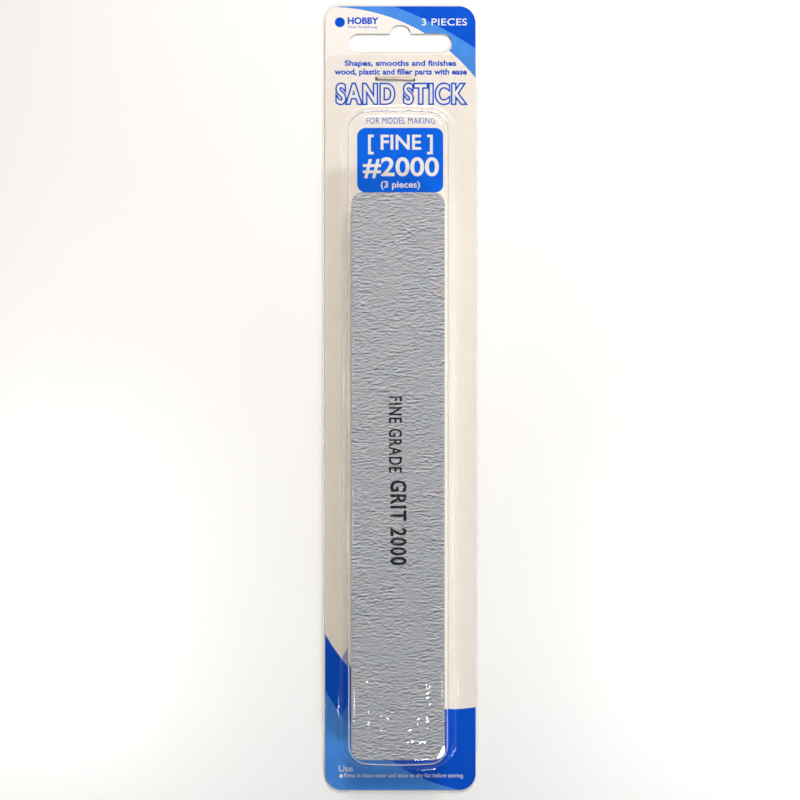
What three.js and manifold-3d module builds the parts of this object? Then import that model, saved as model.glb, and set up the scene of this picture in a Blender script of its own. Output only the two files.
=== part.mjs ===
// Three foam sanding sticks in a slide-blister pack: a printed card with a hang slot, a clear cover
// whose edges fold back round the card, a long pocket in the cover, one wire staple and the sticks.
//
// Millimetres. +X is right seen from the front, +Y points to the hang slot, +Z out of the front.
// The pack lies on its back: z = 0 is the plane it rests on, and x = y = 0 is the middle of its box.

import * as THREE from 'three';
import * as BufferGeometryUtils from 'three/addons/utils/BufferGeometryUtils.js';
import Module from 'manifold-3d';

const wasm = await Module();
wasm.setup();

// ---------------------------------------------------------------- driving dimensions

// Card
const CARD_LENGTH = 250;
const CARD_WIDTH = 48;
const CARD_THICKNESS = 0.5;
const CARD_CORNER = 5.3;

// Hang slot, a round-ended slot with a small round hump over its middle
const SLOT_WIDTH = 33;
const SLOT_HEIGHT = 6.4;
const SLOT_TO_CARD_TOP = 8.7; // from the slot's straight upper edge to the card's top edge
const HUMP_WIDTH = 6.6;
const HUMP_RISE = 2.8;

// Clear cover
const SHEET = 0.4; // wall of the thermoformed sheet
const RAIL_GAP = 0.8; // clear height between the cover's front and its folded edges
const CARD_LIFT = 0.2; // card's back above the folded edges' inner faces
const COVER_TOP_MARGIN = 15.8; // from the card's top edge down to the cover's top edge
const COVER_TOP_CORNER = 3;
const CORNER_OVERHANG = 0.4; // cover beyond the card at the two unfolded bottom corners
const RAIL_DEPTH = 6; // how far each folded edge reaches under the card
const RAIL_TOP_SETBACK = 9; // side folds stop this far below the cover's top edge
const RAIL_BOTTOM_SETBACK = 12.5; // and this far above the card's bottom edge
const BOTTOM_FOLD_WIDTH = 31;

// Sticks
const STICK_COUNT = 3;
const STICK_LENGTH = 178;
const STICK_WIDTH = 29.2;
const STICK_CORNER = 3.6;
const ABRASIVE = 0.3;
const ADHESIVE = 0.1;
const FOAM = 1.25;
const CORE = 0.5;
const STACK_GAP = 0.1; // between the card and the sticks, and between one stick and the next
const STICK_OFFSET_X = -0.77; // the sticks lie a little left of the card's middle
const STICK_TO_CARD_BOTTOM = 11.5;
const STICK_END_GAP = 0.35; // bottom end of the sticks to the pocket's end wall

// Pocket, measured over the outside of the plastic
const POCKET_OFFSET_X = -0.7;
const POCKET_TOP_WIDTH = 30.8;
const POCKET_FREE_LENGTH = 24.2; // empty length above the sticks
const POCKET_DRAFT = 0.216; // sideways travel of the wall for each millimetre of height
const POCKET_CORNER = 5.2; // plan radius where the walls meet the flat top
const POCKET_CROWN = 0.8; // how far each end bows out at its middle
const POCKET_EDGE = 1.6; // rounding along the flat top's rim
const POCKET_FOOT = 0.8; // flare where the walls run into the flat sheet
const POCKET_HEADROOM = 0.4; // top stick to the inside of the pocket

// Staple
const STAPLE_CROWN = 12.6;
const WIRE_WIDTH = 0.7;
const WIRE_THICKNESS = 0.5;
const STAPLE_BEND = 0.7;
const STAPLE_TILT = -1.2; // degrees about Z
const STAPLE_X = -1.65;
const STAPLE_TO_CARD_TOP = 23.3;
const CLINCH = 4.4; // length of each leg folded flat behind the card
const STAPLE_CLEARANCE = 0.05;
const PUNCTURE_MARGIN = 0.1;

// Half the number of straight facets in one arc
const ARC_STEPS = 4;
const FINE_ARC_STEPS = 8;
const STICK_ARC_STEPS = 3;
const POCKET_CORNER_STEPS = 8;
const POCKET_END_STEPS = 6;

const CUT_THROUGH = 0.2; // how far a cutter runs past the face that it opens

// ---------------------------------------------------------------- derived positions

const CARD_TOP = CARD_LENGTH / 2;
const CARD_BOTTOM = -CARD_LENGTH / 2;
const CARD_SIDE = CARD_WIDTH / 2;
const FOLD_RADIUS = RAIL_GAP / 2 + SHEET;

const CARD_BACK_Z = SHEET + CARD_LIFT;
const CARD_FRONT_Z = CARD_BACK_Z + CARD_THICKNESS;
const SHEET_BACK_Z = SHEET + RAIL_GAP;
const SHEET_FRONT_Z = SHEET_BACK_Z + SHEET;
const COVER_TOP = CARD_TOP - COVER_TOP_MARGIN;

const STICK_LAYERS = [
  ['back_abrasive', ABRASIVE],
  ['back_adhesive_outer', ADHESIVE],
  ['back_foam', FOAM],
  ['back_adhesive_inner', ADHESIVE],
  ['core', CORE],
  ['front_adhesive_inner', ADHESIVE],
  ['front_foam', FOAM],
  ['front_adhesive_outer', ADHESIVE],
  ['front_abrasive', ABRASIVE],
];
const STICK_THICKNESS = STICK_LAYERS.reduce((sum, layer) => sum + layer[1], 0);
const STACK_TOP_Z = CARD_FRONT_Z + STICK_COUNT * (STICK_THICKNESS + STACK_GAP);
const POCKET_INNER_TOP_Z = STACK_TOP_Z + POCKET_HEADROOM;
const POCKET_TOP_Z = POCKET_INNER_TOP_Z + SHEET;

const STICK_BOTTOM = CARD_BOTTOM + STICK_TO_CARD_BOTTOM;
const STICK_CENTRE_Y = STICK_BOTTOM + STICK_LENGTH / 2;
const POCKET_LENGTH = STICK_LENGTH + POCKET_FREE_LENGTH + STICK_END_GAP + 2 * SHEET;
const POCKET_CENTRE_Y = STICK_BOTTOM - STICK_END_GAP - SHEET + POCKET_LENGTH / 2;

const STAPLE_Y = CARD_TOP - STAPLE_TO_CARD_TOP;

// The box's middle lies a little off the card's middle, because the bottom fold stands proud.
const BOX_SHIFT_Y = FOLD_RADIUS / 2;

// ---------------------------------------------------------------- materials

const MATERIALS = {
  clear: { color: 0xf4f6f8, roughness: 0.12, metalness: 0, transparent: true, opacity: 0.25 },
  card: { color: 0xf7f0e6, roughness: 0.35, metalness: 0 },
  steel: { color: 0x8d8983, roughness: 0.35, metalness: 1 },
  abrasive: { color: 0xb2b3b8, roughness: 0.85, metalness: 0 },
  adhesive: { color: 0xd8d0b0, roughness: 0.5, metalness: 0 },
  foam: { color: 0xe9e9e6, roughness: 0.95, metalness: 0 },
  core: { color: 0xf2f2f0, roughness: 0.45, metalness: 0 },
};

function material(name) {
  return new THREE.MeshStandardMaterial(MATERIALS[name]);
}

// ---------------------------------------------------------------- outlines

// A rounded rectangle about the origin, anticlockwise.
function roundedRectangle(width, height, radius) {
  const shape = new THREE.Shape();
  const right = width / 2 - radius;
  const up = height / 2 - radius;
  shape.absarc(right, -up, radius, -Math.PI / 2, 0, false);
  shape.absarc(right, up, radius, 0, Math.PI / 2, false);
  shape.absarc(-right, up, radius, Math.PI / 2, Math.PI, false);
  shape.absarc(-right, -up, radius, Math.PI, 1.5 * Math.PI, false);
  shape.closePath();
  return shape;
}

// The hang slot: half-round ends, and a half-round hump over the middle of its upper edge.
function hangSlotOutline() {
  const path = new THREE.Path();
  const high = CARD_TOP - SLOT_TO_CARD_TOP;
  const end = SLOT_HEIGHT / 2;
  const reach = SLOT_WIDTH / 2 - end;
  path.absarc(reach, high - end, end, -Math.PI / 2, Math.PI / 2, false);
  path.absellipse(0, high, HUMP_WIDTH / 2, HUMP_RISE, 0, Math.PI, false, 0);
  path.absarc(-reach, high - end, end, Math.PI / 2, 1.5 * Math.PI, false);
  path.closePath();
  return path;
}

// The cover's flat front: folded straight sides, and cut edges round the two bottom corners.
function coverOutline() {
  const shape = new THREE.Shape();
  const side = CARD_SIDE;
  const wide = CARD_SIDE + CORNER_OVERHANG;
  const low = CARD_BOTTOM;
  const lower = CARD_BOTTOM - CORNER_OVERHANG;
  const corner = CARD_CORNER + CORNER_OVERHANG;
  const fold = BOTTOM_FOLD_WIDTH / 2;
  const railLow = CARD_BOTTOM + RAIL_BOTTOM_SETBACK;
  const round = COVER_TOP_CORNER;
  shape.moveTo(-fold, low);
  shape.lineTo(fold, low);
  shape.lineTo(fold, lower);
  shape.absarc(wide - corner, lower + corner, corner, -Math.PI / 2, 0, false);
  shape.lineTo(wide, railLow);
  shape.lineTo(side, railLow);
  shape.absarc(side - round, COVER_TOP - round, round, 0, Math.PI / 2, false);
  shape.absarc(round - side, COVER_TOP - round, round, Math.PI / 2, Math.PI, false);
  shape.lineTo(-side, railLow);
  shape.lineTo(-wide, railLow);
  shape.absarc(corner - wide, lower + corner, corner, Math.PI, 1.5 * Math.PI, false);
  shape.lineTo(-fold, lower);
  shape.closePath();
  return shape;
}

// ---------------------------------------------------------------- solids

function slab(shape, low, high, curveSegments) {
  const geometry = new THREE.ExtrudeGeometry(shape, {
    depth: high - low,
    bevelEnabled: false,
    curveSegments,
  });
  geometry.translate(0, 0, low);
  return geometry;
}

// One level of the pocket: a rounded rectangle whose two ends bow out.
function pocketRing({ width, height, radius }) {
  const ring = [];
  const right = width / 2 - radius;
  const up = height / 2 - radius;
  const turns = [[1, -1], [1, 1], [-1, 1], [-1, -1]];
  turns.forEach(([sideX, sideY], corner) => {
    for (let i = 0; i <= POCKET_CORNER_STEPS; i += 1) {
      const angle = (corner - 1 + i / POCKET_CORNER_STEPS) * (Math.PI / 2);
      ring.push([sideX * right + radius * Math.cos(angle), sideY * up + radius * Math.sin(angle)]);
    }
    const isEnd = sideX === sideY;
    for (let i = 1; isEnd && i < POCKET_END_STEPS; i += 1) {
      const across = right * (1 - (2 * i) / POCKET_END_STEPS);
      ring.push([sideX * across, sideY * (height / 2)]);
    }
  });
  return ring.map(([x, y]) => {
    const bow = POCKET_CROWN * (1 - ((2 * x) / width) ** 2);
    return new THREE.Vector2(POCKET_OFFSET_X + x, POCKET_CENTRE_Y + y + Math.sign(y) * bow);
  });
}

// A solid through levels of the pocket, each { z, width, height, radius }, from the lowest up.
function loft(sections) {
  const rings = sections.map(pocketRing);
  const count = rings[0].length;
  const positions = [];
  rings.forEach((ring, level) => {
    ring.forEach((point) => positions.push(point.x, point.y, sections[level].z));
  });
  const index = [];
  for (let level = 0; level + 1 < rings.length; level += 1) {
    for (let i = 0; i < count; i += 1) {
      const a = level * count + i;
      const b = level * count + ((i + 1) % count);
      index.push(a, b, b + count);
      index.push(a, b + count, a + count);
    }
  }
  const top = (rings.length - 1) * count;
  THREE.ShapeUtils.triangulateShape(rings[0], []).forEach(([a, b, c]) => index.push(a, c, b));
  THREE.ShapeUtils.triangulateShape(rings[rings.length - 1], []).forEach(([a, b, c]) => {
    index.push(top + a, top + b, top + c);
  });
  const geometry = new THREE.BufferGeometry();
  geometry.setAttribute('position', new THREE.Float32BufferAttribute(positions, 3));
  geometry.setIndex(index);
  return geometry;
}

// Sections of the pocket from its foot up, moved in by `inset` from its outside.
function pocketSections(inset, footZ, topZ) {
  const foot = POCKET_FOOT + inset;
  const rim = POCKET_EDGE - inset;
  const footSteps = 3;
  const rimSteps = 4;
  const quarter = Math.PI / 2;
  const section = (z, flare) => {
    const grow = (POCKET_TOP_Z - z) * POCKET_DRAFT - inset + flare;
    return {
      z,
      width: POCKET_TOP_WIDTH + 2 * grow,
      height: POCKET_LENGTH + 2 * grow,
      radius: POCKET_CORNER + grow,
    };
  };
  const sections = [section(footZ - CUT_THROUGH, foot)];
  for (let i = 0; i <= footSteps; i += 1) {
    const turn = (i / footSteps) * quarter;
    sections.push(section(footZ + foot * (1 - Math.cos(turn)), foot * (1 - Math.sin(turn))));
  }
  for (let i = 0; i <= rimSteps; i += 1) {
    const turn = (i / rimSteps) * quarter;
    sections.push(section(topZ - rim * (1 - Math.sin(turn)), rim * (Math.cos(turn) - 1)));
  }
  return sections;
}

// The fold's section: a half round joined to the flange that reaches back under the card.
function foldSection() {
  const shape = new THREE.Shape();
  const middle = RAIL_GAP / 2 + SHEET;
  const inner = RAIL_GAP / 2;
  shape.absarc(0, middle, FOLD_RADIUS, -Math.PI / 2, Math.PI / 2, false);
  shape.lineTo(-SHEET, middle + FOLD_RADIUS);
  shape.lineTo(-SHEET, middle + inner);
  shape.absarc(0, middle, inner, Math.PI / 2, -Math.PI / 2, true);
  shape.lineTo(-RAIL_DEPTH, SHEET);
  shape.lineTo(-RAIL_DEPTH, 0);
  shape.closePath();
  return shape;
}

// One folded edge, standing along +Y from `start` to `end` with its fold at x = 0.
function foldedEdge(start, end) {
  const geometry = new THREE.ExtrudeGeometry(foldSection(), {
    depth: end - start,
    bevelEnabled: false,
    curveSegments: ARC_STEPS,
  });
  geometry.rotateX(Math.PI / 2);
  geometry.translate(0, end, 0);
  return geometry;
}

function box(sizeX, sizeY, sizeZ, x, y, z) {
  const geometry = new THREE.BoxGeometry(sizeX, sizeY, sizeZ);
  geometry.translate(x, y, z);
  return geometry;
}

// ---------------------------------------------------------------- joining and cutting

function solid(geometry) {
  const bare = geometry.clone();
  bare.deleteAttribute('normal');
  bare.deleteAttribute('uv');
  const merged = BufferGeometryUtils.mergeVertices(bare, 1e-5);
  const mesh = new wasm.Mesh({
    numProp: 3,
    vertProperties: new Float32Array(merged.attributes.position.array),
    triVerts: new Uint32Array(merged.index.array),
  });
  return new wasm.Manifold(mesh);
}

function geometryOf(manifold) {
  const mesh = manifold.getMesh();
  const geometry = new THREE.BufferGeometry();
  geometry.setAttribute('position', new THREE.BufferAttribute(mesh.vertProperties, 3));
  geometry.setIndex(new THREE.BufferAttribute(mesh.triVerts, 1));
  geometry.computeVertexNormals();
  return geometry;
}

// The staple's two punctures, as cutters from below the card to above the cover.
function punctures() {
  const width = WIRE_THICKNESS + 2 * PUNCTURE_MARGIN;
  const height = WIRE_WIDTH + 2 * PUNCTURE_MARGIN;
  const depth = 2 * SHEET_FRONT_Z;
  const leg = STAPLE_CROWN / 2 - WIRE_THICKNESS / 2;
  return [-leg, leg].map((x) => {
    const cutter = box(width, height, depth, x, 0, SHEET_FRONT_Z / 2);
    cutter.rotateZ(THREE.MathUtils.degToRad(STAPLE_TILT));
    cutter.translate(STAPLE_X, STAPLE_Y, 0);
    return solid(cutter);
  });
}

// ---------------------------------------------------------------- pieces

function cardGeometry() {
  const outline = roundedRectangle(CARD_WIDTH, CARD_LENGTH, CARD_CORNER);
  outline.holes.push(hangSlotOutline());
  let card = solid(slab(outline, CARD_BACK_Z, CARD_FRONT_Z, FINE_ARC_STEPS));
  punctures().forEach((cutter) => {
    card = card.subtract(cutter);
  });
  return geometryOf(card);
}

function coverGeometry() {
  const railStart = CARD_BOTTOM + RAIL_BOTTOM_SETBACK;
  const railEnd = COVER_TOP - RAIL_TOP_SETBACK;
  const rightFold = foldedEdge(railStart, railEnd);
  rightFold.translate(CARD_SIDE, 0, 0);
  const leftFold = foldedEdge(-railEnd, -railStart);
  leftFold.rotateZ(Math.PI);
  leftFold.translate(-CARD_SIDE, 0, 0);
  const bottomFold = foldedEdge(-BOTTOM_FOLD_WIDTH / 2, BOTTOM_FOLD_WIDTH / 2);
  bottomFold.rotateZ(-Math.PI / 2);
  bottomFold.translate(0, CARD_BOTTOM, 0);

  const outside = loft(pocketSections(0, SHEET_FRONT_Z, POCKET_TOP_Z));
  const inside = loft(pocketSections(SHEET, SHEET_BACK_Z, POCKET_INNER_TOP_Z));

  let cover = solid(slab(coverOutline(), SHEET_BACK_Z, SHEET_FRONT_Z, FINE_ARC_STEPS));
  [rightFold, leftFold, bottomFold, outside].forEach((piece) => {
    cover = cover.add(solid(piece));
  });
  [solid(inside), ...punctures()].forEach((cutter) => {
    cover = cover.subtract(cutter);
  });
  return geometryOf(cover);
}

// The staple: crown over the cover, legs through the card, ends folded towards each other.
function stapleGeometry() {
  const half = STAPLE_CROWN / 2;
  const low = CARD_BACK_Z - STAPLE_CLEARANCE - WIRE_THICKNESS;
  const high = SHEET_FRONT_Z + STAPLE_CLEARANCE + WIRE_THICKNESS;
  const wire = WIRE_THICKNESS;
  const bend = STAPLE_BEND;
  const inner = bend - wire;
  const tip = half - CLINCH;
  const shape = new THREE.Shape();
  shape.moveTo(tip, low);
  shape.absarc(half - bend, low + bend, bend, -Math.PI / 2, 0, false);
  shape.absarc(half - bend, high - bend, bend, 0, Math.PI / 2, false);
  shape.absarc(bend - half, high - bend, bend, Math.PI / 2, Math.PI, false);
  shape.absarc(bend - half, low + bend, bend, Math.PI, 1.5 * Math.PI, false);
  shape.lineTo(-tip, low);
  shape.lineTo(-tip, low + wire);
  shape.absarc(bend - half, low + bend, inner, 1.5 * Math.PI, Math.PI, true);
  shape.absarc(bend - half, high - bend, inner, Math.PI, Math.PI / 2, true);
  shape.absarc(half - bend, high - bend, inner, Math.PI / 2, 0, true);
  shape.absarc(half - bend, low + bend, inner, 0, -Math.PI / 2, true);
  shape.lineTo(tip, low + wire);
  shape.closePath();
  const geometry = new THREE.ExtrudeGeometry(shape, {
    depth: WIRE_WIDTH,
    bevelEnabled: false,
    curveSegments: ARC_STEPS,
  });
  geometry.rotateX(Math.PI / 2);
  geometry.translate(0, WIRE_WIDTH / 2, 0);
  return geometry;
}

function piece(name, geometry, materialName) {
  const mesh = new THREE.Mesh(geometry, material(materialName));
  mesh.name = name;
  return mesh;
}

function layerMaterial(layer) {
  return ['abrasive', 'adhesive', 'foam', 'core'].find((kind) => layer.includes(kind));
}

// One stick, built up from its back abrasive to its front abrasive.
function stick(name) {
  const group = new THREE.Group();
  let z = 0;
  STICK_LAYERS.forEach(([layer, thickness]) => {
    const outline = roundedRectangle(STICK_WIDTH, STICK_LENGTH, STICK_CORNER);
    const geometry = slab(outline, 0, thickness, STICK_ARC_STEPS);
    const mesh = piece(`${name}_${layer}`, geometry, layerMaterial(layer));
    mesh.position.z = z;
    group.add(mesh);
    z += thickness;
  });
  return group;
}

// ---------------------------------------------------------------- assembly

const pack = new THREE.Group();
pack.position.y = BOX_SHIFT_Y;
pack.add(piece('blister_shell', coverGeometry(), 'clear'));
pack.add(piece('card_board', cardGeometry(), 'card'));

const staple = piece('staple', stapleGeometry(), 'steel');
staple.position.set(STAPLE_X, STAPLE_Y, 0);
staple.rotation.z = THREE.MathUtils.degToRad(STAPLE_TILT);
pack.add(staple);

['back', 'middle', 'front'].forEach((place, order) => {
  const group = stick(`${place}_stick`);
  const z = CARD_FRONT_Z + STACK_GAP + order * (STICK_THICKNESS + STACK_GAP);
  group.position.set(STICK_OFFSET_X, STICK_CENTRE_Y, z);
  pack.add(group);
});

const part = new THREE.Group();
part.add(pack);

export default part;
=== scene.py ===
"""Looks for a slide-blister pack of three foam sanding sticks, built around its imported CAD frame.

+X is right seen from the front, +Y points to the hang slot and +Z out of the front, as in the CAD
frame. Camera and lamps are in metres, and shapes are worked out in millimetres. The card, the cores
and the adhesive films keep their CAD shape. The cover, staple, foam pads and abrasive sheets get
finer meshes here, and print is laid on the card and on the front stick.
"""

import math

import bmesh
import bpy
import numpy as np
from mathutils import Matrix, Vector
from mathutils.geometry import delaunay_2d_cdt


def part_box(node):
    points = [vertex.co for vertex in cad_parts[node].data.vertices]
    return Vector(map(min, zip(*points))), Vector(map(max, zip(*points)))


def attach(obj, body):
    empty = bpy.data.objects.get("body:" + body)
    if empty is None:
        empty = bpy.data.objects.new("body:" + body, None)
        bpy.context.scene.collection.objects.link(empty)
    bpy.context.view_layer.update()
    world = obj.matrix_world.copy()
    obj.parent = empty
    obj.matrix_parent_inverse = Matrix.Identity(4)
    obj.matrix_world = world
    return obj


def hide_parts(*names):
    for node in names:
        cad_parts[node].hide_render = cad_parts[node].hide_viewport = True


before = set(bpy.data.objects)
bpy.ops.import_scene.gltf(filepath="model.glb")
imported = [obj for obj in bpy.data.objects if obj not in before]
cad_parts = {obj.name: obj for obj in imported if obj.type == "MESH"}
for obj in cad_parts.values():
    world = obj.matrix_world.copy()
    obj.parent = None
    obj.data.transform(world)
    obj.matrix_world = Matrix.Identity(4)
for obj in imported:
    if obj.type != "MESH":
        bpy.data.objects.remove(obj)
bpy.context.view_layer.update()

MM = 0.001  # metres

# -------- places taken from the frame

CARD_LOW, CARD_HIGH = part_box("card_board")
COVER_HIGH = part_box("blister_shell")[1]
STAPLE_LOW, STAPLE_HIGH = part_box("staple")
STICK_LOW, STICK_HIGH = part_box("front_stick_front_abrasive")
STICKS = ("back", "middle", "front")

# Clear cover, millimetres
SHEET = 0.4
POCKET_DRAFT = 0.216  # how far the wall leans for each millimetre of height
POCKET_CORNER = 5.2
POCKET_CROWN = 0.8
POCKET_EDGE = 1.6
POCKET_FOOT = 0.8
POCKET_TOP_WIDTH = 30.8
POCKET_OFFSET_X = -0.7
POCKET_FREE_LENGTH = 24.2
STICK_END_GAP = 0.35
COVER_TOP_CORNER = 3
CORNER_OVERHANG = 0.4
CARD_CORNER = 5.3
RAIL_DEPTH = 6
RAIL_TOP_SETBACK = 9
RAIL_BOTTOM_SETBACK = 12.5
BOTTOM_FOLD_WIDTH = 31

# Staple, millimetres
WIRE_WIDTH = 0.7
WIRE_THICKNESS = 0.5
WIRE_ROUNDING = 0.16
STAPLE_BEND = 0.7
STAPLE_CROWN = 12.6
STAPLE_TILT = -1.2
CLINCH = 4.4

STICK_CORNER = 3.6

# -------- camera and light

CAMERA_DISTANCE = 0.700  # from the card's front
VIEW_WIDTH = 0.2552  # what the picture spans at the card's front
CAMERA_X = -0.00013
CAMERA_Y = -0.00019

LAMP_COLOUR = (1.0, 0.98, 0.95)
WASH_HEIGHT = 0.6
WASH_LEAN = 2.8  # how many times farther out than its beam's middle a floor lamp stands
WASH_BEAM = 16.5  # full angle in degrees
WASH_SIZE = 0.05
SKY_COLOUR = (1.0, 0.965, 0.92, 1)
SKY_FADE = (0.2, 0.95)  # upward parts of the directions between which the sky dims


def new_thing(name, data):
    """An object in the scene."""
    thing = bpy.data.objects.new(name, data)
    bpy.context.scene.collection.objects.link(thing)
    return thing


def make_camera():
    """Straight in front of the pack, which fills the picture's height."""
    camera = new_thing("camera", bpy.data.cameras.new("camera"))
    camera.data.sensor_width = 36
    camera.data.lens = camera.data.sensor_width * CAMERA_DISTANCE / VIEW_WIDTH
    camera.data.clip_start = 0.01
    camera.location = (CAMERA_X, CAMERA_Y, CARD_HIGH.z + CAMERA_DISTANCE)
    bpy.context.scene.camera = camera


def add_lamp(kind, name, place, target, watts):
    """A lamp that looks at the target."""
    lamp = new_thing(name, bpy.data.lights.new(name, kind))
    lamp.data.energy = watts
    lamp.location = place
    lamp.rotation_euler = (Vector(target) - lamp.location).to_track_quat("-Z", "Y").to_euler()
    return lamp


def area_light(name, place, size, watts, colour):
    """A square soft light that looks at the middle of the pack."""
    lamp = add_lamp("AREA", name, place, (0, 0, 0), watts)
    lamp.visible_camera = False
    lamp.data.shape = "SQUARE"
    lamp.data.size = size
    lamp.data.color = colour


def floor_wash(name, middle, watts):
    """A lamp whose soft beam lights only the floor beside the pack, round middle = (x, y)."""
    place = (WASH_LEAN * middle[0], middle[1], WASH_HEIGHT)
    lamp = add_lamp("SPOT", name, place, (*middle, 0), watts)
    lamp.data.spot_size = math.radians(WASH_BEAM)
    lamp.data.spot_blend = 1
    lamp.data.shadow_soft_size = WASH_SIZE


# -------- materials

# The colour mix node's sockets
MIX_FACTOR, MIX_FIRST, MIX_SECOND, MIX_RESULT = 0, 6, 7, 2


class Graph:
    """The node tree of a new material or world, with short calls to add nodes and join them."""

    def __init__(self, name, kind="materials"):
        self.owner = getattr(bpy.data, kind).new(name)
        self.owner.use_nodes = True
        self.tree = self.owner.node_tree
        self.tree.nodes.clear()
        place = self.add("ShaderNodeTexCoord").outputs
        self.where = place["Object" if kind == "materials" else "Generated"]
        self.normal = place["Normal"]

    def add(self, kind, inputs=None, **settings):
        """A node, with each input joined to a socket or set to a value."""
        node = self.tree.nodes.new(kind)
        for name, value in settings.items():
            setattr(node, name, value)
        for key, value in (inputs or {}).items():
            if isinstance(value, bpy.types.NodeSocket):
                self.tree.links.new(value, node.inputs[key])
            else:
                node.inputs[key].default_value = value
        return node

    def math(self, operation, *values):
        return self.add("ShaderNodeMath", dict(enumerate(values)), operation=operation).outputs[0]

    def noise(self, per_millimetre, detail=3, roughness=0.5, stretch=(1, 1, 1)):
        """Noise from 0 to 1 with that many blobs in a millimetre."""
        scaled = self.add(
            "ShaderNodeVectorMath",
            {0: self.where, 1: tuple(per_millimetre / MM * s for s in stretch)},
            operation="MULTIPLY",
        )
        texture = self.add(
            "ShaderNodeTexNoise",
            {"Vector": scaled.outputs[0], "Scale": 1.0, "Detail": detail, "Roughness": roughness},
        )
        return texture.outputs["Fac"]

    def spread(self, value, span=(0.3, 0.7), out=(0.0, 1.0)):
        """Value from the span stretched over out. Noise mostly lies in the usual span."""
        names = ("From Min", "From Max", "To Min", "To Max")
        inputs = {"Value": value, **dict(zip(names, (*span, *out)))}
        return self.add("ShaderNodeMapRange", inputs).outputs["Result"]

    def blend(self, factor, first, second):
        """A colour from first, at factor 0, to second, at factor 1."""
        inputs = {MIX_FACTOR: factor, MIX_FIRST: first, MIX_SECOND: second}
        return self.add("ShaderNodeMix", inputs, data_type="RGBA").outputs[MIX_RESULT]

    def bump(self, height, distance, strength):
        inputs = {"Height": height, "Distance": distance * MM, "Strength": strength}
        return self.add("ShaderNodeBump", inputs).outputs["Normal"]

    def principled(self, **inputs):
        named = {name.replace("_", " "): value for name, value in inputs.items()}
        return self.add("ShaderNodeBsdfPrincipled", named).outputs["BSDF"]

    def finish(self, shader):
        self.add("ShaderNodeOutputMaterial", {"Surface": shader})
        return self.owner

    def painted(self, **inputs):
        """The finished material, with a single principled shader."""
        return self.finish(self.principled(**inputs))


def srgb(red, green, blue):
    """A linear colour from the usual 0 to 255 values."""
    def linear(value):
        share = value / 255
        return share / 12.92 if share <= 0.04045 else ((share + 0.055) / 1.055) ** 2.4
    return (linear(red), linear(green), linear(blue), 1)


INK_GLOSS = 0.03  # specular level of the printed card
BOARD = srgb(244, 237, 229)
BOARD_BACK = srgb(214, 208, 196)
LIGHT_BLUE = srgb(74, 142, 226)
DARK_BLUE = srgb(0, 84, 209)
LABEL_BLUE = srgb(0, 104, 236)
INK_WHITE = srgb(240, 238, 234)

# The printed bands' edges are arcs, each a centre and radius in millimetres from the card's middle.
TOP_LIGHT_ARC = (-22.7, 65.5, 59.3)
TOP_DARK_ARC = (-44.5, 10.8, 121.8)
BOTTOM_ARC = (15.9, -54.1, 45.1)
BOTTOM_LIGHT_ARC = (31.6, -63.0, 63.2)


def beyond(graph, edge):
    """1 outside the edge's circle and 0 inside it."""
    x, y, radius = edge
    middle = (CARD_LOW + CARD_HIGH) / 2
    centre = (middle.x + x * MM, middle.y + y * MM, CARD_HIGH.z)
    away = graph.add("ShaderNodeVectorMath", {0: graph.where, 1: centre}, operation="DISTANCE")
    return graph.math("GREATER_THAN", away.outputs["Value"], radius * MM)


def card_material():
    """Coated board: cream front with two-tone blue bands across its corners, greyish back."""
    graph = Graph("printed_board")
    place = graph.add("ShaderNodeSeparateXYZ", {0: graph.where})
    middle = (CARD_LOW.y + CARD_HIGH.y) / 2
    upper = graph.math("GREATER_THAN", place.outputs["Y"], middle + TOP_LIGHT_ARC[1] * MM)
    lower = graph.math("LESS_THAN", place.outputs["Y"], middle + BOTTOM_ARC[1] * MM)
    top_band = graph.math("MULTIPLY", beyond(graph, TOP_LIGHT_ARC), upper)
    top_dark = graph.math("MULTIPLY", beyond(graph, TOP_DARK_ARC), upper)
    bottom_band = graph.math("MULTIPLY", beyond(graph, BOTTOM_ARC), lower)
    bottom_light = graph.math("MULTIPLY", beyond(graph, BOTTOM_LIGHT_ARC), lower)

    mottle = graph.noise(0.25, detail=4)
    fibres = graph.noise(2.2, detail=2, stretch=(1, 0.35, 1))
    board = graph.blend(graph.spread(mottle, (0.35, 0.65)), BOARD, srgb(241, 233, 224))
    ink_shift = graph.spread(mottle)
    light = graph.blend(ink_shift, LIGHT_BLUE, srgb(68, 134, 219))
    dark = graph.blend(ink_shift, DARK_BLUE, srgb(0, 78, 200))
    colour = graph.blend(top_band, board, light)
    colour = graph.blend(top_dark, colour, dark)
    colour = graph.blend(bottom_band, colour, dark)
    colour = graph.blend(graph.math("MULTIPLY", bottom_band, bottom_light), colour, light)

    facing = graph.add("ShaderNodeSeparateXYZ", {0: graph.normal})
    front = graph.math("GREATER_THAN", facing.outputs["Z"], 0.5)
    back = graph.blend(graph.spread(fibres, (0.35, 0.7)), BOARD_BACK, srgb(196, 190, 178))
    colour = graph.blend(front, back, colour)
    roughness = graph.spread(graph.math("ADD", mottle, fibres), (0.6, 1.4), (0.42, 0.52))
    return graph.painted(
        Base_Color=colour,
        Roughness=roughness,
        Normal=graph.bump(fibres, 0.004, 0.5),
        Specular_IOR_Level=INK_GLOSS,
    )


def ink_material(name, colour, deeper, roughness=0.48):
    """Printed ink whose density wavers a little."""
    graph = Graph(name)
    density = graph.noise(0.5, detail=4)
    fibres = graph.noise(3.0, detail=2)
    return graph.painted(
        Base_Color=graph.blend(graph.spread(density), colour, deeper),
        Roughness=graph.spread(fibres, out=(roughness - 0.06, roughness + 0.08)),
        Normal=graph.bump(fibres, 0.003, 0.4),
        Specular_IOR_Level=INK_GLOSS,
    )


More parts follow.
